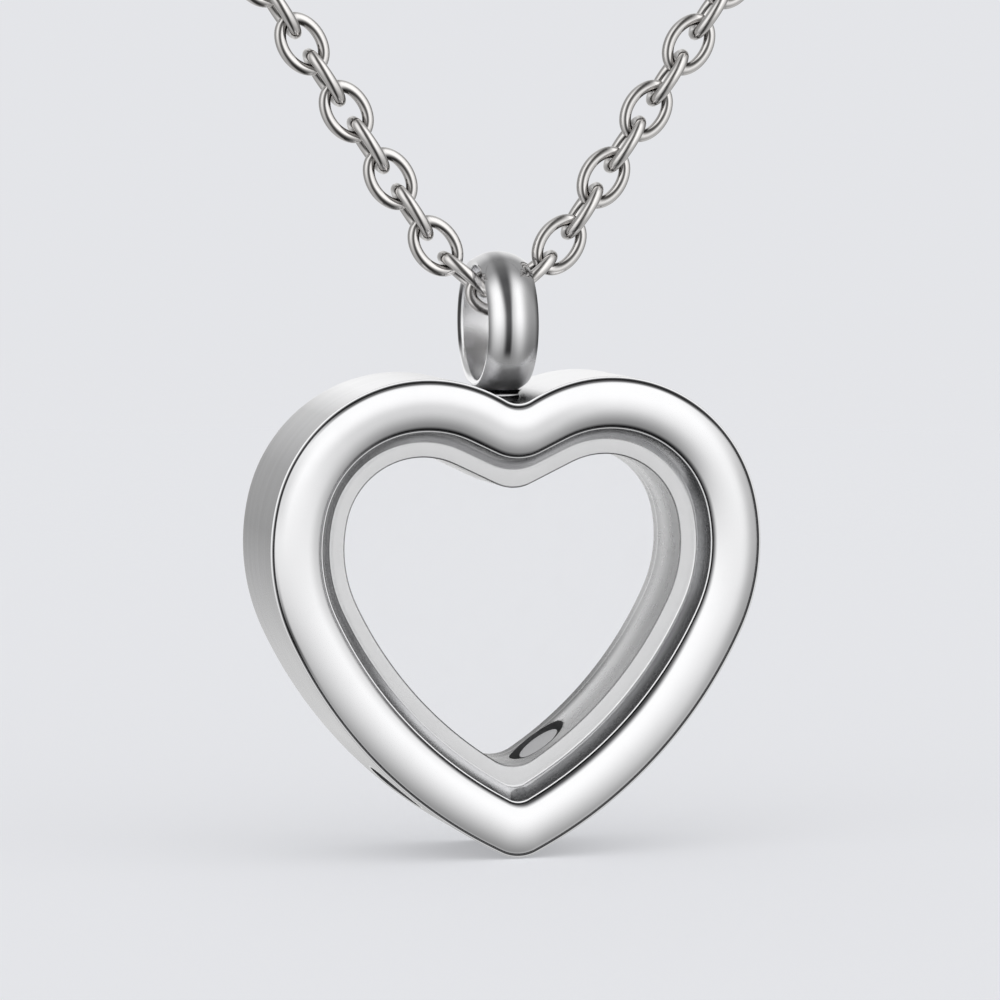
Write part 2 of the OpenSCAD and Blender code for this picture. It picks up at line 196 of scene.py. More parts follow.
caseSteel, chainSteel = makeSteel("caseSteel", True), makeSteel("chainSteel", True)
portShadeSteel, screwShadeSteel = makeSteel("portShadeSteel", False), makeSteel("screwShadeSteel", False)
claspSteel = makeSteel("claspSteel", False)

glass = {
    "facing": 0.35, "slantPower": 3.0, "slantAlpha": 0.4, "alpha": 0.012, "rough": 0.02, "ior": 1.5,
    "dust": {"Scale": 700.0, "Detail": 5.0}, "dustSpan": (0.5, 0.8), "dustAlpha": 0.012, "dustRough": 0.2,
    "clean": (0.93, 0.95, 0.97, 1), "dusty": (1, 1, 1, 1),
}


# Clear glass: nearly nothing head-on, a soft shine at a slant, and a trace of dust.
def makeGlass():
    material, shader, wire = newMaterial("clearGlass")
    slant = wire.node("LayerWeight", {}, {"Blend": glass["facing"]}, "Facing")
    place = wire.node("TexCoord", {}, {}, "Object")
    dust = wire.node("TexNoise", {}, {"Vector": place, **glass["dust"]}).step(*glass["dustSpan"])
    shine = slant ** glass["slantPower"] * glass["slantAlpha"]
    feed(wire, shader, {
        "Base Color": dust.blend(glass["clean"], glass["dusty"]),
        "Roughness": dust * glass["dustRough"] + glass["rough"],
        "IOR": glass["ior"],
        "Alpha": shine + dust * glass["dustAlpha"] + glass["alpha"],
    })
    return material


glassMaterial = makeGlass()
print("materials made")


# Gives a piece its edges sharper than an angle in degrees, its material and its body.
def finishPiece(piece, material, body, sharp=35):
    if sharp:
        piece.data.set_sharp_from_angle(angle=np.radians(sharp))
    if not piece.data.materials:
        piece.data.materials.append(material)
    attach(piece, body)


# The cosine and sine of an angle, as a direction.
def heading(angle):
    return np.array([np.cos(angle), np.sin(angle)])


case = {
    "width": 24.0, "lobe": 7.5, "shoulder": 10.0, "side": 22.1, "shoulderAngle": 13.5, "sideAngle": -25.2,
    "halfDepth": 3.2, "rise": 0.3, "bezel": 2.45, "slope": 0.59, "ledge": 0.74, "ledgeDepth": 2.23,
    "insets": (0.0, 2.45, 3.04, 3.78),  # ways in from the outline, to which the next three belong
    "tips": (1.9, 1.0, 1.2, 1.85),  # radius of the tip
    "notches": (1.2, 2.4, 2.6, 1.9),  # radius of the notch
    "flanks": (30.0, 25.5, 25.5, 25.5),  # slope of the straight flank, in degrees
    "steps": (14, 10, 60, 30, 46, 18),  # points on notch, flank, lobe, shoulder, side and tip
    "smoothings": 3,
    "lip": 0.05, "lipFoot": 0.09, "lipSteps": 7, "groove": 0.05,
    "domeSteps": 44, "domeFall": 0.7, "domeFoot": 0.07, "domeIn": 1.3, "domeOut": 1.2,
    "slopeSteps": 9, "slopeIn": 0.07, "slopeTop": 0.11, "slopeEnd": 0.02, "ledgeMargin": 0.08,
    "wallRows": (0.0, 0.3, 0.6), "wallTop": 0.14, "chamberTop": 0.12,
    "chamberRows": (1.6, 1.53, 1.46, 1.3, 0.6, 0.0),
}
innerWall = case["bezel"] + case["slope"] + case["ledge"]
lobeX = case["width"] / 2 - case["lobe"]
shoulderAngle, sideAngle = np.radians(case["shoulderAngle"]), np.radians(case["sideAngle"])
shoulderAt = np.array([lobeX, 0.0]) - (case["shoulder"] - case["lobe"]) * heading(shoulderAngle)
sideAt = shoulderAt - (case["side"] - case["shoulder"]) * heading(sideAngle)


# Heart outlines, one for each inset: arcs of notch, lobe, shoulder, side and tip, each tangent to the
# next, with a straight flank between notch and lobe.
def heartLoops(inset):
    inset = np.atleast_1d(inset)[:, None]
    tip = np.interp(inset, case["insets"], case["tips"])
    notch = np.interp(inset, case["insets"], case["notches"])
    flank = np.radians(np.interp(inset, case["insets"], case["flanks"]))
    span = case["lobe"] - inset + notch
    notchAt = span * np.cos(flank) - (lobeX - span * np.sin(flank)) * np.tan(flank)
    tipAt = sideAt[1] - np.sqrt((case["side"] - inset - tip) ** 2 - sideAt[0] ** 2)
    tipAngle = np.arctan2(tipAt - sideAt[1], -sideAt[0])
    arcs = (  # middle, radius, first and last angle; the flank is straight and has none
        (0, notchAt, notch, -np.pi / 2, flank - np.pi / 2),
        None,
        (lobeX, 0, case["lobe"] - inset, flank + np.pi / 2, shoulderAngle),
        (shoulderAt[0], shoulderAt[1], case["shoulder"] - inset, shoulderAngle, sideAngle),
        (sideAt[0], sideAt[1], case["side"] - inset, sideAngle, tipAngle),
        (0, tipAt, tip, tipAngle, -np.pi / 2),
    )
    lowX, lowZ = notch * np.sin(flank), notchAt - notch * np.cos(flank)
    topX = lobeX - (case["lobe"] - inset) * np.sin(flank)
    xs, zs = [], []
    for arc, count in zip(arcs, case["steps"]):
        part = np.arange(count)[None, :] / count
        if arc is None:
            xs.append(lowX + (topX - lowX) * part)
            zs.append(lowZ + (topX - lowX) * np.tan(flank) * part)
            continue
        x, z, radius, start, end = arc
        angle = start + (end - start) * part
        xs.append(x + radius * np.cos(angle))
        zs.append(z + radius * np.sin(angle) + 0 * inset)
    bottom = tipAt - tip
    x = np.concatenate(xs + [0 * bottom], 1)
    z = np.concatenate(zs + [bottom], 1)
    x, z = np.concatenate([x, -x[:, -2:0:-1]], 1), np.concatenate([z, z[:, -2:0:-1]], 1)
    for _ in range(case["smoothings"]):  # evens out the jumps in curvature where two arcs meet
        x = (np.roll(x, 1, 1) + 2 * x + np.roll(x, -1, 1)) / 4
        z = (np.roll(z, 1, 1) + 2 * z + np.roll(z, -1, 1)) / 4
    return x, z


corners = {  # steps in and down from a corner, in mm, but a groove's steps in are shares of its width
    "outerGroove": ((0, 0.04), (0.3, 0.09), (1, 0.1)),
    "innerGroove": ((0.3, 0.11), (0.9, 0.11)),
    "innerLip": ((0, 0.06), (0.04, 0.07)),
    "ledgeFoot": ((0.01, 0), (0.04, 0)),
    "ledgeEdge": ((-0.04, 0.005), (0, 0.05)),
}
# Painted shade of each part of the section, with its satin: dark in both grooves and at the ledge's edge,
# darker down the slope, and full on the dome and the inner lip.
paintedShadeAndSatin = {  # shade and satin of each part of the section
    "outerWall": (0.92, 0.75), "lip": (1.0, 0.1), "outerGroove": (0.07, 0.3), "dome": (1.0, 0.0),
    "innerGroove": (0.05, 0.3), "innerLip": (1.0, 0.0), "slope": (0.3, 0.15), "ledgeFoot": (0.75, 0.4),
    "ledge": (0.78, 0.8), "ledgeEdge": (0.3, 0.3), "chamberWall": (0.8, 0.9),
}


# Points a few steps in and down from a corner of the section.
def stepsFrom(inset, depth, steps, width=1):
    return np.array([[inset + width * inward, depth - down] for inward, down in steps])


# Section of the rim from the middle of the outer wall to the middle of the chamber wall: columns are
# inset, depth, shade and satin. The second array is the place across the dome, from -1 to 1, and the
# third the place down the slope, from 0 to 1; both are nowhere elsewhere.
def rimSection():
    d, lip, groove, bezel = case["halfDepth"], case["lip"], case["groove"], case["bezel"]
    quarter = np.linspace(0, np.pi / 2, case["lipSteps"])
    edge = np.stack([lip * (1 - np.cos(quarter)), d - case["lipFoot"] + lip * np.sin(quarter)], 1)
    across = np.sin(np.linspace(-1, 1, case["domeSteps"] + 1) * np.pi / 2)
    low, high = 2 * lip + case["domeIn"] * groove, bezel - case["domeOut"] * groove
    height = (1 - across ** 2) ** case["domeFall"]
    middle, half, foot = (low + high) / 2, (high - low) / 2, case["domeFoot"]
    dome = np.stack([middle + half * across, d - foot + (case["rise"] + foot) * height], 1)
    inner, wall, ledge = bezel + case["slope"], innerWall, case["ledgeDepth"]
    down = np.linspace(0, 1, case["slopeSteps"])
    start, top, end = case["slopeIn"], case["slopeTop"], case["slopeEnd"]
    slope = np.stack([bezel + start + (inner - end - bezel - start) * down,
                      d - top + (ledge + end - d + top) * down], 1)
    outer = np.array([[0, d * row] for row in case["wallRows"]] + [[0, d - case["wallTop"]]])
    chamber = (ledge - case["chamberTop"],) + case["chamberRows"]
    margin = case["ledgeMargin"]
    parts = {
        "outerWall": outer,
        "lip": edge,
        "outerGroove": stepsFrom(2 * lip, d, corners["outerGroove"], groove),
        "dome": dome,
        "innerGroove": stepsFrom(high, d, corners["innerGroove"], groove),
        "innerLip": stepsFrom(bezel, d, corners["innerLip"]),
        "slope": slope,
        "ledgeFoot": stepsFrom(inner, ledge, corners["ledgeFoot"]),
        "ledge": np.array([[inner + margin, ledge], [wall - margin, ledge]]),
        "ledgeEdge": stepsFrom(wall, ledge, corners["ledgeEdge"]),
        "chamberWall": np.stack([np.full(len(chamber), wall), chamber], 1),
    }
    rows = [np.column_stack([p, np.tile(paintedShadeAndSatin[key], (len(p), 1))]) for key, p in parts.items()]
    onDome = [across if key == "dome" else np.full(len(p), nowhere) for key, p in parts.items()]
    onSlope = [down if key == "slope" else np.full(len(p), nowhere) for key, p in parts.items()]
    return np.concatenate(rows), np.concatenate(onDome), np.concatenate(onSlope)


# The tones below were set by comparing renders with the photo, and they are fixed to the surface: the
# greys and stripes stand where the photo's viewpoint shows the studio mirrored in the steel.
zones = {  # where each part of the heart begins and is whole, along x or up z
    "left": (-4, -8), "right": (1, 5), "lowRight": (-0.5, 1), "low": (-3, -9), "top": (2, 5.5),
    "overLobes": (4, 6.5), "aboveFlanks": (5, 6), "besideSolder": (1.4, 0.8), "belowPorts": (-9.6, -10.9),
}
grooveTones = {"darkest": 0.06, "left": 0.35}  # the inner groove is the one below the first of these
domeTones = {  # how much each of them takes from the full shade, and where
    "inner": 0.85, "innerLeft": 0.6, "innerLowRight": 0.1,
    "innerSpan": (0.83, 0.99), "lowRightMoves": (0.08, 0.05),
    "top": 0.25, "topSpan": (0.1, 0.9), "topStripe": 0.2, "topStripeAt": (0, 0.3),
    "side": 0.25, "sideSpan": (-0.1, -0.8),
    "upperLeft": 0.3, "upperLeftAt": (2.4, 2.2), "upperLeftSpan": (-0.5, -0.95),
    "line": 0.86, "lineSpan": (-0.86, -0.94), "lineLeftAt": (-4.5, 2.2),
}


# Shade across the dome. It is full but for a grey inner edge, which is weaker on the left and wider at the
# lower right, a grey half and a stripe on the lobes' tops, soft grey on the outer half at the right and at
# the upper left, and a dark line at the outer edge over the lobes and at the lower left.
def domeShade(across, x, z, left, right, low, top):
    tones = domeTones
    lowRight = low * smoothStep(*zones["lowRight"], x)
    start, end = tones["innerSpan"]
    startMove, endMove = tones["lowRightMoves"]
    inner = smoothStep(start - startMove * lowRight, end - endMove * lowRight, across)
    loss = tones["inner"] - tones["innerLeft"] * left * (1 - top) + tones["innerLowRight"] * lowRight
    tone = 1 - loss * inner
    tone = tone - top * tones["top"] * smoothStep(*tones["topSpan"], across)
    tone = tone - top * tones["topStripe"] * (1 - right) * hump(across, *tones["topStripeAt"])
    tone = tone - tones["side"] * right * (1 - low) * (1 - top) * smoothStep(*tones["sideSpan"], across)
    upperLeft = left * hump(z, *tones["upperLeftAt"])
    tone = tone - tones["upperLeft"] * upperLeft * smoothStep(*tones["upperLeftSpan"], across)
    line = np.maximum(smoothStep(*zones["overLobes"], z), left * hump(z, *tones["lineLeftAt"]))
    return tone - tones["line"] * line * smoothStep(*tones["lineSpan"], across)


slopeTones = {
    "start": 0.2, "gain": 0.95, "gainSpan": (0.05, 0.85), "leftLoss": 0.9, "left": 0.06,
    "leftStripe": 0.25, "leftStripeAt": (0.15, 0.15),
    "bright": 0.6, "brightSatin": 1.2,
    "brightAt": (6.3, 2.2), "brightUp": (1.5, 3.5), "brightDown": (0.2, 0.8),
}


# Shade down the slope: from dark to full on the right, dark on the left with a faint stripe under the bezel.
def slopeShade(down, left, low):
    tones = slopeTones
    rising = tones["start"] + tones["gain"] * smoothStep(*tones["gainSpan"], down)
    tone = rising * (1 - tones["leftLoss"] * left) + tones["left"] * left
    return tone + tones["leftStripe"] * left * (1 - low) * hump(down, *tones["leftStripeAt"])


# A painted highlight on the slope inside the right lobe, which also gets more satin.
def slopePatch(down, x, z):
    tones = slopeTones
    return (hump(x, *tones["brightAt"]) * smoothStep(*tones["brightUp"], z)
            * smoothStep(*tones["brightDown"], down))


wallTones = {  # begun as the photo's brightness at spots up the left wall, then corrected by renders
    "heights": (-15.5, -12.8, -11.2, -9.5, -5.7, -2.6, 0.4, 3.4, 5.8, 7.0, 7.5),
    "tones": (0.0, 0.0, 0.25, 0.39, 0.34, 0.21, 0.07, 0.16, 0.42, 0.97, 0.97),
    "notchLoss": 0.9, "leftLoss": 0.25, "leftAt": (-3, 2.2),
}


# Shade of the outer wall by height, dark in the notch round the solder and greyer on the left lobe's top.
def wallShade(x, z):
    above = smoothStep(*zones["aboveFlanks"], z)
    tone = np.interp(z, wallTones["heights"], wallTones["tones"])
    tone = tone * (1 - wallTones["notchLoss"] * smoothStep(*zones["besideSolder"], np.abs(x)) * above)
    return tone * (1 - wallTones["leftLoss"] * hump(x, *wallTones["leftAt"]) * above)


chamberTones = {
    "front": 0.22, "gain": 0.28, "gainSpan": (1.5, -0.9), "low": 0.08,
    "strip": 0.12, "stripLow": 0.46, "stripSpan": (-0.8, -1.25), "portLoss": 0.6,
    "backLine": 0.35, "backLineAt": (-1.53, 0.05), "edges": 2.15,
}


# Painted shade of the chamber wall: lighter towards the back, with a dark strip before the back pane,
# darker below the ports and a painted highlight line at the back edge.
def chamberShade(depth, z, low):
    tones = chamberTones
    tone = tones["front"] + tones["gain"] * smoothStep(*tones["gainSpan"], depth) + tones["low"] * low
    tone = tone - (tones["strip"] + tones["stripLow"] * low) * smoothStep(*tones["stripSpan"], depth)
    tone = tone * (1 - tones["portLoss"] * smoothStep(*zones["belowPorts"], z))
    return tone + tones["backLine"] * hump(depth, *tones["backLineAt"])


# The section carried round the heart: one closed skin over the front half and its mirrored back half,
# with the shade of each part painted by place.
def makeRim():
    front, onDome, onSlope = rimSection()
    section = np.concatenate([front, front[-2:0:-1] * (1, -1, 1, 1)])
    onDome = np.concatenate([onDome, onDome[-2:0:-1]])[:, None]
    onSlope = np.concatenate([onSlope, onSlope[-2:0:-1]])[:, None]
    x, z = heartLoops(section[:, 0])
    inset, depth = section[:, 0][:, None], section[:, 1][:, None]
    shade = np.repeat(section[:, 2][:, None], x.shape[1], 1)
    satin = np.repeat(section[:, 3][:, None], x.shape[1], 1)
    left, right = smoothStep(*zones["left"], x), smoothStep(*zones["right"], x)
    low, top = smoothStep(*zones["low"], z), smoothStep(*zones["top"], z)
    inGroove = shade < grooveTones["darkest"]
    shade = np.where(inGroove, shade + grooveTones["left"] * left * (1 - top), shade)
    shade = np.where(onDome > nowhere, domeShade(onDome, x, z, left, right, low, top), shade)
    patch = slopePatch(onSlope, x, z)
    slopeTone = slopeShade(onSlope, left, low) + slopeTones["bright"] * patch
    shade = np.where(onSlope > nowhere, slopeTone, shade)
    satin = np.where(onSlope > nowhere, satin + slopeTones["brightSatin"] * patch, satin)
    shade = np.where(inset < closeBy, wallShade(x, z), shade)
    inChamber = (inset > innerWall - closeBy) & (np.abs(depth) < chamberTones["edges"])
    shade = np.where(inChamber, chamberShade(depth, z, low), shade)
    quads = gridQuads(len(section), x.shape[1], True, True)
    return addMesh("caseRim", standUp(x, z, depth), quads, {"shade": shade, "satin": satin})


ports = {
    "angles": (50.0, 54.5), "headBore": 3.1, "headDepth": 1.0, "bore": 2.28,
    "innerBore": 3.1, "innerDepth": 0.4, "sides": 96,
    "outside": 1.0, "overlap": 0.5, "past": 1.0,  # how far the cutters reach over the skin and each other
    "slack": 0.005, "reach": 0.5,  # how far from its bore a face still counts as cut
}


# A closed cylinder on a port's axis between two depths below the outer wall.
def portCylinder(side, angle, near, far, diameter):
    angle = np.radians(angle)
    out = np.array([np.cos(angle), -np.sin(angle)])
    turn = 2 * np.pi * np.arange(ports["sides"]) / ports["sides"]
    ring = diameter / 2 * np.stack([np.cos(turn), np.sin(turn)], -1)
    cross = np.array([-out[1], out[0]])
    at = sideAt + out * (case["side"] - np.array([near, near, far, far]))[:, None]
    scale = np.array([capScale, 1, 1, capScale])[:, None]
    x = at[:, 0][:, None] + cross[0] * ring[:, 0] * scale
    z = at[:, 1][:, None] + cross[1] * ring[:, 0] * scale
    points = standUp(side * x, z, ring[:, 1] * scale)
    return closeEnds(addMesh("portCutter", points, gridQuads(4, ports["sides"], False, True)))


# Marks the faces whose middles lie within a port's widest bore, by their distance from its axis.
def facesInPorts(mesh):
    centres = np.empty(3 * len(mesh.polygons), np.float32)
    mesh.polygons.foreach_get("center", centres)
    centres = centres.reshape(-1, 3) / mm - heartAt
    inPort = np.zeros(len(centres), bool)
    for side, angle in zip((-1, 1), ports["angles"]):
        out = heading(-np.radians(angle)) * (side, 1)
        away = centres[:, [0, 2]] - sideAt * (side, 1)
        along = case["side"] - away @ out
        off = np.hypot(away @ (-out[1], out[0]), centres[:, 1])
        within = (along > -ports["reach"]) & (along < innerWall + ports["reach"])
        inPort |= (off < ports["innerBore"] / 2 + ports["slack"]) & within
    return inPort


# Takes the ports out of the rim and keeps the result as the rim's own mesh, with nearly black steel
# as painted shade of the recesses on what was cut.
def cutPorts(rim):
    cutters = []
    past = innerWall + ports["past"]
    for side, angle in zip((-1, 1), ports["angles"]):
        cutters.append(portCylinder(side, angle, -ports["outside"], ports["headDepth"], ports["headBore"]))
        cutters.append(portCylinder(side, angle, ports["headDepth"] - ports["overlap"], past, ports["bore"]))
        cutters.append(portCylinder(side, angle, innerWall - ports["innerDepth"], past, ports["innerBore"]))
    for cutter in cutters:
        cut = rim.modifiers.new("port", "BOOLEAN")
        cut.operation, cut.solver, cut.object = "DIFFERENCE", "EXACT", cutter
    bpy.context.view_layer.update()
    baked = bpy.data.meshes.new_from_object(rim.evaluated_get(bpy.context.evaluated_depsgraph_get()))
    rim.modifiers.clear()
    rim.data = baked
    rim.data.materials.append(portShadeSteel)
    inPort = facesInPorts(baked)
    baked.polygons.foreach_set("material_index", inPort.astype(np.int32))
    print("port faces:", int(inPort.sum()))
    for cutter in cutters:
        bpy.data.objects.remove(cutter)


rim = makeRim()
rim.data.materials.append(caseSteel)
cutPorts(rim)
finishPiece(rim, caseSteel, "pendant")
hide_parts("heart_case")
print("case rim:", len(rim.data.polygons), "faces,", [m.name for m in rim.data.materials])

bail = {
    "bore": 5.4, "edge": 6.0, "outer": 6.85, "width": 2.45, "height": 9.972818, "round": 0.25,
    "around": 160, "domeSteps": 48, "cornerSteps": 8, "boreSteps": 5,
    "shade": 0.42, "stripe": 0.6, "leftStripe": (-0.66, 0.26), "rightStripe": (0.15, 0.24),
    "edgeLoss": 0.35, "edgeSpan": (0.8, 1.0), "dark": 0.88, "darkTopLoss": 0.6,
    "darkLeft": ((-0.5, -0.2), (-0.32, -0.1)),  # each place with what the wide top adds to it
    "darkRight": ((-0.12, 0.25), -0.2),
    "wideSpan": (0.1, 0.9), "topSpan": (0.4, 0.85), "footSpan": (0.3, 0.62), "endTone": 0.62,
    "footTone": 0.35, "footToneSpan": (0.3, 0.6), "darkFootSpan": (-0.5, -0.35), "darkTopSpan": (0.6, 0.95),
    "boreTone": 1.0, "boreSatin": 0.8, "domeSatin": 0.12, "footSatin": 1.5, "footSatinSpan": (0.35, 0.75),
    "beyond": 2.0,  # the place across that stands for corners and bore
    "outerCorner": 5,  # the rows of each corner that keep the band's own shade
}


# Painted shade and reflections on the band, by the place across it, from -1 to 1, and the cosine of the
# turn from its top: two bright painted stripes with a dark one between, which widens upwards, and plain
# grey at top and foot.
def bailShade(across, high):
    wide = smoothStep(*bail["wideSpan"], high)
    (start, startGrows), (end, endGrows) = bail["darkLeft"]
    (right, rightGrows), inside = bail["darkRight"]
    streak = smoothStep(start + startGrows * wide, end + endGrows * wide, across)
    streak = streak * smoothStep(right + rightGrows * wide, inside, across)
    shade = bail["shade"] + bail["stripe"] * hump(across, *bail["leftStripe"])
    shade = shade + bail["stripe"] * hump(across, *bail["rightStripe"])
    shade = shade - bail["edgeLoss"] * smoothStep(*bail["edgeSpan"], np.abs(across))
    ends = smoothStep(*bail["topSpan"], high) + smoothStep(*bail["footSpan"], -high)
    endTone = bail["endTone"] + bail["footTone"] * smoothStep(*bail["footToneSpan"], -high)
    shade = shade * (1 - ends) + endTone * ends
    streak = streak * smoothStep(*bail["darkFootSpan"], high)
    streak = streak * (1 - bail["darkTopLoss"] * smoothStep(*bail["darkTopSpan"], high))
    return shade * (1 - bail["dark"] * streak)


# The band's section turned about the X axis: a dome outside, two rounded edges and a straight bore.
def makeBail():
    edge, bore, half = bail["edge"] / 2, bail["bore"] / 2, bail["width"] / 2
    rise = bail["outer"] / 2 - edge
    across = np.linspace(-1, 1, bail["domeSteps"] + 1)
    domeRadius = (half ** 2 + rise ** 2) / (2 * rise)
    height = np.sqrt(domeRadius ** 2 - (half * across) ** 2) - domeRadius + rise
    dome = np.stack([edge + height, half * across], 1)
    turn = np.linspace(0, np.pi / 2, bail["cornerSteps"])
    flat, fillet = half - bail["round"], bail["round"]
    corner = np.stack([bore + fillet * (1 - np.sin(turn)), flat + fillet * np.cos(turn)], 1)
    straight = np.linspace(flat, -flat, bail["boreSteps"] + 2)[1:-1]
    inside = np.stack([np.full(bail["boreSteps"], bore), straight], 1)
    section = np.concatenate([dome, corner, inside, corner[::-1] * (1, -1)])
    turn = 2 * np.pi * np.arange(bail["around"]) / bail["around"]
    radius, x = section[:, 0][:, None], section[:, 1][:, None]
    points = standUp(x + 0 * turn, bail["height"] + radius * np.cos(turn), radius * np.sin(turn), bailAt)
    high = np.cos(turn)
    place = np.concatenate([across, np.full(len(section) - len(across), bail["beyond"])])[:, None]
    onDome = np.abs(place) <= 1
    inBore = np.zeros((len(section), 1))
    inBore[len(dome) + bail["outerCorner"]:-bail["outerCorner"]] = 1
    shade = np.where(inBore > 0, bail["boreTone"], bailShade(place, high))
    foot = smoothStep(*bail["footSatinSpan"], -high) * onDome
    boreSatin = np.repeat(inBore, len(turn), 1) * bail["boreSatin"]
    satin = boreSatin + bail["domeSatin"] * onDome + bail["footSatin"] * foot
    quads = gridQuads(len(section), len(turn), True, True)
    return addMesh("bailRing", points, quads, {"shade": shade, "satin": satin}, flip=True)


bailRing = makeBail()
finishPiece(bailRing, caseSteel, "pendant")

solder = {
    "foot": 5.95, "top": 6.8, "waist": 0.95, "depth": 1.05, "flare": 0.25, "flarePower": 2.5,
    "rings": 61, "sides": 48, "beadAt": 6.5, "bead": 0.06, "shade": 0.12, "beadShade": 0.9, "satin": 0.4,
}


# An oval pad that spreads into the notch below and into the band above, with a bead round it. The pad
# is painted dark as shade in the notch, and the bead is painted bright as a highlight.
def makeSolder():
    t = np.linspace(-1, 1, solder["rings"])[:, None]
    turn = 2 * np.pi * np.arange(solder["sides"])[None, :] / solder["sides"]
    height = (solder["foot"] + solder["top"]) / 2 + (solder["top"] - solder["foot"]) / 2 * t + 0 * turn
    bead = hump(height, solder["beadAt"], solder["bead"])
    spread = 1 + solder["flare"] * np.abs(t) ** solder["flarePower"] + solder["bead"] * bead
    x = solder["waist"] * spread * np.cos(turn)
    depth = solder["depth"] * spread * np.sin(turn)
    x[[0, -1]], depth[[0, -1]] = x[[0, -1]] * capScale, depth[[0, -1]] * capScale
    shade = solder["shade"] + solder["beadShade"] * bead
    quads = gridQuads(len(t), turn.size, False, True)
    values = {"shade": shade, "satin": 0 * shade + solder["satin"]}
    return closeEnds(addMesh("solderPad", standUp(x, height, depth, bailAt), quads, values))


solderPad = makeSolder()
finishPiece(solderPad, caseSteel, "pendant")
print("bail:", len(bailRing.data.polygons), "faces")

chain = {
    "length": 450.0, "linkLength": 3.24, "linkWidth": 2.38, "wire": 0.57, "play": 0.18, "bendPlay": 0.12,
    "rises": (40.0, 52.0, 56.2), "middle": 11.432818, "plumb": 32.0, "lean": 100.0, "near": 15,
    "firstOnLeg": 3,  # number of the first link on the straight leg, counted from the middle link
    "clasp": (7.47, 7.20),  # how far the last link's middle stands from the nape, to the right and left
    "nearSteps": (48, 40), "farSteps": (12, 5), "satin": 0.2,
    # The next two began as the photo's brightness across a link's wire, by the way the skin faces there.
    "wireSides": (-180, -90, -72, -55, -38, -30, -24, -10, -4, 4, 18, 30, 50, 80, 180),
    "wireTones": (0.5, 0.22, 0.34, 0.78, 0.9, 0.75, 0.06, 0.04, 0.4, 1.2, 1.2, 0.95, 0.35, 0.2, 0.5),
    "levelSpan": (75, 35), "endTone": 0.42, "endUp": (0.4, 50, 14), "endDown": (0.2, -50, 14),
    "endLoss": 0.2, "endLossSpan": (65, 85),
}
halfL, halfW = (chain["linkLength"] - chain["wire"]) / 2, (chain["linkWidth"] - chain["wire"]) / 2
pitch = chain["linkLength"] - 2 * chain["wire"] - chain["play"]
hold = halfL - chain["wire"] - chain["bendPlay"]


# Point of a link's middle line whose normal has the given direction, turned by a second angle.
def linkPoint(angle, turn):
    p = np.array([halfL ** 2 * np.cos(angle), halfW ** 2 * np.sin(angle)])
    p = p / np.hypot(halfL * np.cos(angle), halfW * np.sin(angle))
    return np.array([p[0] * np.cos(turn) - p[1] * np.sin(turn), p[0] * np.sin(turn) + p[1] * np.cos(turn)])


firstRise, secondRise, legRise = np.radians(chain["rises"])
link1 = linkPoint(firstRise, 0) + hold * heading(firstRise)
link2 = link1 + hold * heading(firstRise) - linkPoint(np.pi + firstRise - secondRise, secondRise)
link3 = link2 + linkPoint(legRise - secondRise, secondRise) + hold * heading(legRise)

turnBack = np.pi - legRise
routeLength = chain["length"] / 2 - chain["firstOnLeg"] * pitch
legLength = (routeLength - link3[0] * turnBack / np.sin(legRise)) / (1 + turnBack / np.tan(legRise))
neckRadius = (link3[0] + legLength * np.cos(legRise)) / np.sin(legRise)
neckAt = link3 + legLength * heading(legRise) + neckRadius * heading(legRise + np.pi / 2)


# The flat route, a straight leg and then an arc over the nape, bent back over the chest without stretching.
# Gives places, directions along the chain and the face normals of the chain's own surface.
def route(s):
    onLeg = s < legLength
    angle = np.where(onLeg, legRise, legRise + (s - legLength) / neckRadius)
    x = np.where(onLeg, link3[0] + s * np.cos(legRise), neckAt[0] + neckRadius * np.cos(angle - np.pi / 2))
    h = np.where(onLeg, link3[1] + s * np.sin(legRise), neckAt[1] + neckRadius * np.sin(angle - np.pi / 2))
    return bent(x, h, angle)


# Flat places, with their directions, on a surface that hangs plumb and above that leans back in an arc.
def bent(x, h, angle):
    lean = np.maximum(0, h - chain["plumb"]) / chain["lean"]
    y = chain["lean"] * (1 - np.cos(lean))
    z = chain["middle"] + np.where(h < chain["plumb"], h, chain["plumb"] + chain["lean"] * np.sin(lean))
    places = np.stack([x, y, z], -1) + bailAt
    rise = np.sin(angle)
    along = np.stack([np.cos(angle), rise * np.sin(lean), rise * np.cos(lean)], -1)
    normal = np.stack([0 * lean, -np.cos(lean), np.sin(lean)], -1)
    return places, along, normal


# The wire's painted shade and reflections by the way its skin faces: greyer to the left, a dark line
# ahead, a bright painted highlight to its right and dark outlines, with a softer and darker wire where
# it faces up or down.
def wireShade(facing):
    side = np.degrees(np.arctan2(facing[..., 0], -facing[..., 1]))
    up = np.degrees(np.arcsin(np.clip(facing[..., 2], -1, 1)))
    around = np.interp(side, chain["wireSides"], chain["wireTones"])
    level = smoothStep(*chain["levelSpan"], np.abs(up))
    (upTone, *upAt), (downTone, *downAt) = chain["endUp"], chain["endDown"]
    ends = chain["endTone"] + upTone * hump(up, *upAt) + downTone * hump(up, *downAt)
    ends = ends - chain["endLoss"] * smoothStep(*chain["endLossSpan"], np.abs(up))
    return around * level + ends * (1 - level)


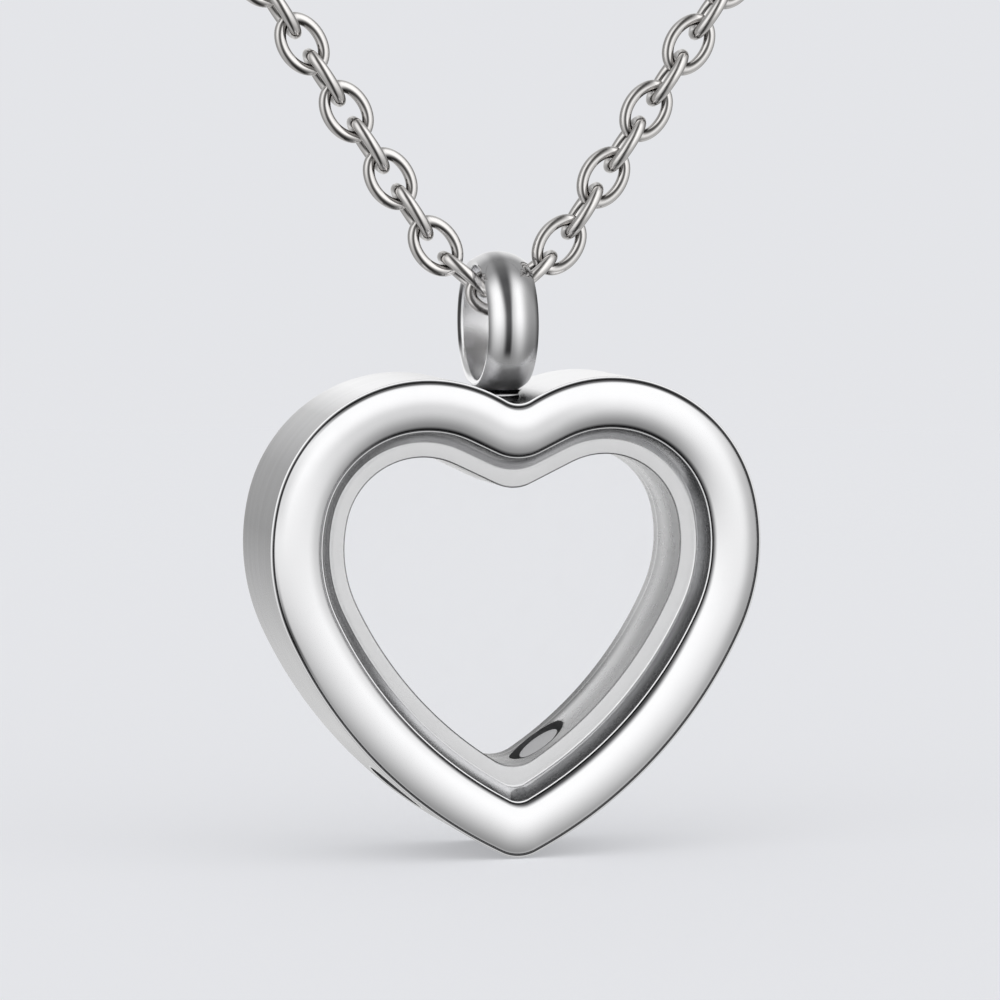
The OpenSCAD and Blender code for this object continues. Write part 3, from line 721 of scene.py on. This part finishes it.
# Oval rings of wire: one link for each place, its length along the chain, its width across the
# chain's surface or, for every second link, along the normal of that surface.
def makeLinks(name, places, along, normal, edgeOn, steps):
    across = np.where(edgeOn[:, None], normal, np.cross(normal, along))
    t = (2 * np.pi * np.arange(steps[0]) / steps[0])[None, :, None]
    middle = places[:, None] + halfL * np.cos(t) * along[:, None] + halfW * np.sin(t) * across[:, None]
    out = halfW * np.cos(t) * along[:, None] + halfL * np.sin(t) * across[:, None]
    out = out / np.linalg.norm(out, axis=-1, keepdims=True)
    side = np.broadcast_to(np.cross(along, across)[:, None], out.shape)
    turn = 2 * np.pi * np.arange(steps[1]) / steps[1]
    facing = np.cos(turn)[:, None] * out[..., None, :] + np.sin(turn)[:, None] * side[..., None, :]
    rings = middle[..., None, :] + chain["wire"] / 2 * facing
    one = gridQuads(steps[0], steps[1], True, True)
    count = steps[0] * steps[1]
    quads = (one[None] + (np.arange(len(places)) * count)[:, None, None]).reshape(-1, 4)
    shade = wireShade(facing)
    return addMesh(name, rings, quads, {"shade": shade, "satin": 0 * shade + chain["satin"]}, flip=True)


mirrored = np.array([-1.0, 1.0, 1.0])


# The middle link in the bail, the two that slide round their neighbours' ends, and the first of the legs.
def makeNearLinks():
    low = np.array([[0, 0], link1, link2])
    places, along, normal = bent(low[:, 0], low[:, 1], np.array([0, firstRise, secondRise]))
    legs = route(np.arange(chain["near"] + 1 - chain["firstOnLeg"]) * pitch)
    places, along, normal = (np.concatenate(pair) for pair in zip((places, along, normal), legs))
    edgeOn = np.arange(len(places)) % 2 == 1
    places = np.concatenate([places, places[1:] * mirrored])
    along = np.concatenate([along, along[1:] * mirrored])
    normal = np.concatenate([normal, normal[1:]])
    edgeOn = np.concatenate([edgeOn, edgeOn[1:]])
    return makeLinks("chainNear", places, along, normal, edgeOn, chain["nearSteps"])


# The links round the neck, spaced to end in the rings at the clasp with a link that lies flat.
def makeFarLinks():
    sets = []
    start = (chain["near"] - chain["firstOnLeg"]) * pitch
    for reach, sign in zip(chain["clasp"], (1, -1)):
        end = routeLength - reach
        count = 2 * int((end - start) / pitch / 2) + 1
        s = start + (end - start) * np.arange(1, count + 1) / count
        places, along, normal = route(s)
        flip = np.array([sign, 1.0, 1.0])
        edgeOn = (chain["near"] + np.arange(1, count + 1)) % 2 == 1
        sets.append((places * flip, along * flip, normal, edgeOn))
        print("links round the neck:", count, "at", round((end - start) / count, 3), "mm")
    joined = [np.concatenate(parts) for parts in zip(*sets)]
    return makeLinks("chainFar", *joined, chain["farSteps"])


for makeOne, node in ((makeNearLinks, "chain_front"), (makeFarLinks, "chain_back")):
    links = makeOne()
    finishPiece(links, chainSteel, "chain", sharp=0)
    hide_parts(node)
    print(links.name + ":", len(links.data.polygons), "faces")

dressed = {
    "front_glass": glassMaterial, "back_glass": glassMaterial,
    "screw_left": screwShadeSteel, "screw_right": screwShadeSteel,
    "clasp": claspSteel, "hook_ring": claspSteel, "eye_ring": claspSteel,
}
for name, material in dressed.items():
    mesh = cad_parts[name].data
    mesh.materials.clear()
    mesh.materials.append(material)
print("panes, screws, clasp and rings dressed")

stage = {
    "floorHeight": -15.53, "floorRadius": 900.0, "rings": 40, "sides": 96, "firstRing": 0.001,
    "fade": (0.10, 0.45), "pale": (0.776, 0.784, 0.812),
    "shadowed": 0.5,  # the share of the floor's tone that a shadow can take away
    "skyMean": 0.767,  # mean brightness that the open floor receives from the studio
}


# A round floor under the tip: rings of growing radius.
def makeFloor():
    share = np.linspace(stage["firstRing"], 1, stage["rings"])[:, None]
    radius = stage["floorRadius"] * share ** 2
    turn = 2 * np.pi * np.arange(stage["sides"])[None, :] / stage["sides"]
    points = standUp(radius * np.cos(turn), stage["floorHeight"], radius * np.sin(turn))
    return addMesh("floor", points, gridQuads(stage["rings"], stage["sides"], False, True))


# The floor shows the camera the backdrop's own tone, part of it as glow and part as matt that takes
# shadows. It fades out with distance and lets every other ray through.
def makeFloorMaterial():
    material = bpy.data.materials.new("paleFloor")
    material.use_nodes = True
    tree = material.node_tree
    tree.nodes.clear()
    wire = Wire(tree, None)
    place = wire.node("TexCoord", {}, {}, "Object")
    offset = wire.node("VectorMath", {"operation": "SUBTRACT"}, {0: place, 1: tuple(heartAt * mm)})
    away = wire.node("VectorMath", {"operation": "LENGTH"}, {0: offset}, "Value")
    seen = wire.node("LightPath", {}, {}, "Is Camera Ray")
    albedo = tuple(stage["shadowed"] * c / stage["skyMean"] for c in stage["pale"]) + (1,)
    matt = wire.node("BsdfDiffuse", {}, {"Color": albedo})
    glow = wire.node("Emission", {}, {"Color": stage["pale"] + (1,), "Strength": 1 - stage["shadowed"]})
    clear = wire.node("BsdfTransparent", {}, {})
    both = wire.node("AddShader", {}, {0: matt, 1: glow})
    hidden = wire.math("MAXIMUM", away.step(*stage["fade"]), 1.0 - seen)
    mixed = wire.node("MixShader", {}, {0: hidden, 1: both, 2: clear})
    wire.node("OutputMaterial", {}, {"Surface": mixed})
    return material


floor = makeFloor()
floor.data.materials.append(makeFloorMaterial())

light = {  # brightness of each part, and where along its axis a part begins and is whole
    "front": 1.07, "low": 0.26, "right": 0.3, "top": 0.14, "sides": 0.5, "back": 0.5,
    "lowSpan": (-1.05, 0.3), "rightSpan": (0.55, 0.97), "topSpan": (0.75, 1.0),
    "frontSpan": (-0.2, 0.35), "backSpan": (0.55, 0.9),
}


# The studio as the steel sees it: white in front and above, darker step by step downwards and a little to
# the right, grey at the sides and pale again behind. The camera sees the plain pale backdrop.
def makeStudio():
    world = bpy.data.worlds.new("studio")
    bpy.context.scene.world = world
    world.use_nodes = True
    tree = world.node_tree
    tree.nodes.clear()
    wire = Wire(tree, None)
    look = wire.node("TexCoord", {}, {}, "Generated")
    lookX, lookY, lookZ = [wire.node("SeparateXYZ", {}, {0: look}, axis) for axis in "XYZ"]
    front = lookZ.step(*light["lowSpan"]) * (1 - light["low"]) + light["low"]
    front = front * (1.0 - lookX.step(*light["rightSpan"]) * light["right"])
    front = front * (1.0 - lookZ.step(*light["topSpan"]) * light["top"])
    facing = (lookY * -1.0).step(*light["frontSpan"])
    behind = lookY.step(*light["backSpan"]) * light["back"]
    glowing = facing * front * light["front"] + (1.0 - facing) * light["sides"] + behind
    seen = wire.node("LightPath", {}, {}, "Is Camera Ray")
    colour = seen.blend((1, 1, 1, 1), stage["pale"] + (1,))
    strength = seen + (1.0 - seen) * glowing
    backdrop = wire.node("Background", {}, {"Color": colour, "Strength": strength})
    wire.node("OutputWorld", {}, {"Surface": backdrop})


makeStudio()

view = {
    "azimuth": -14.95, "elevation": 4.73, "roll": -0.05, "distance": 235.4, "focalPixels": 4890.0,
    "framePixels": 1000, "sensor": 36.0, "clip": (0.01, 20.0), "aim": (-0.086, 1.42),
}


# The camera at the photograph's angle and distance, its aim moved across and up in its own plane.
def makeCamera():
    a, e, roll = np.radians([view["azimuth"], view["elevation"], view["roll"]])
    toCamera = np.array([np.sin(a) * np.cos(e), -np.cos(a) * np.cos(e), np.sin(e)])
    levelRight = np.array([np.cos(a), np.sin(a), 0.0])
    levelUp = np.cross(toCamera, levelRight)
    right = levelRight * np.cos(roll) + levelUp * np.sin(roll)
    upward = levelUp * np.cos(roll) - levelRight * np.sin(roll)
    eye = heartAt + view["aim"][0] * right + view["aim"][1] * upward + view["distance"] * toCamera
    lens = bpy.data.cameras.new("camera")
    lens.sensor_width = view["sensor"]
    lens.lens = view["focalPixels"] / view["framePixels"] * view["sensor"]
    lens.clip_start, lens.clip_end = view["clip"]
    camera = bpy.data.objects.new("camera", lens)
    bpy.context.collection.objects.link(camera)
    placed = np.eye(4)
    placed[:3] = np.column_stack([right, upward, toCamera, eye * mm])
    camera.matrix_world = Matrix(placed.tolist())
    return camera


bpy.context.scene.camera = makeCamera()
bpy.context.scene.view_settings.view_transform = "Standard"
print("stage, light and camera set")
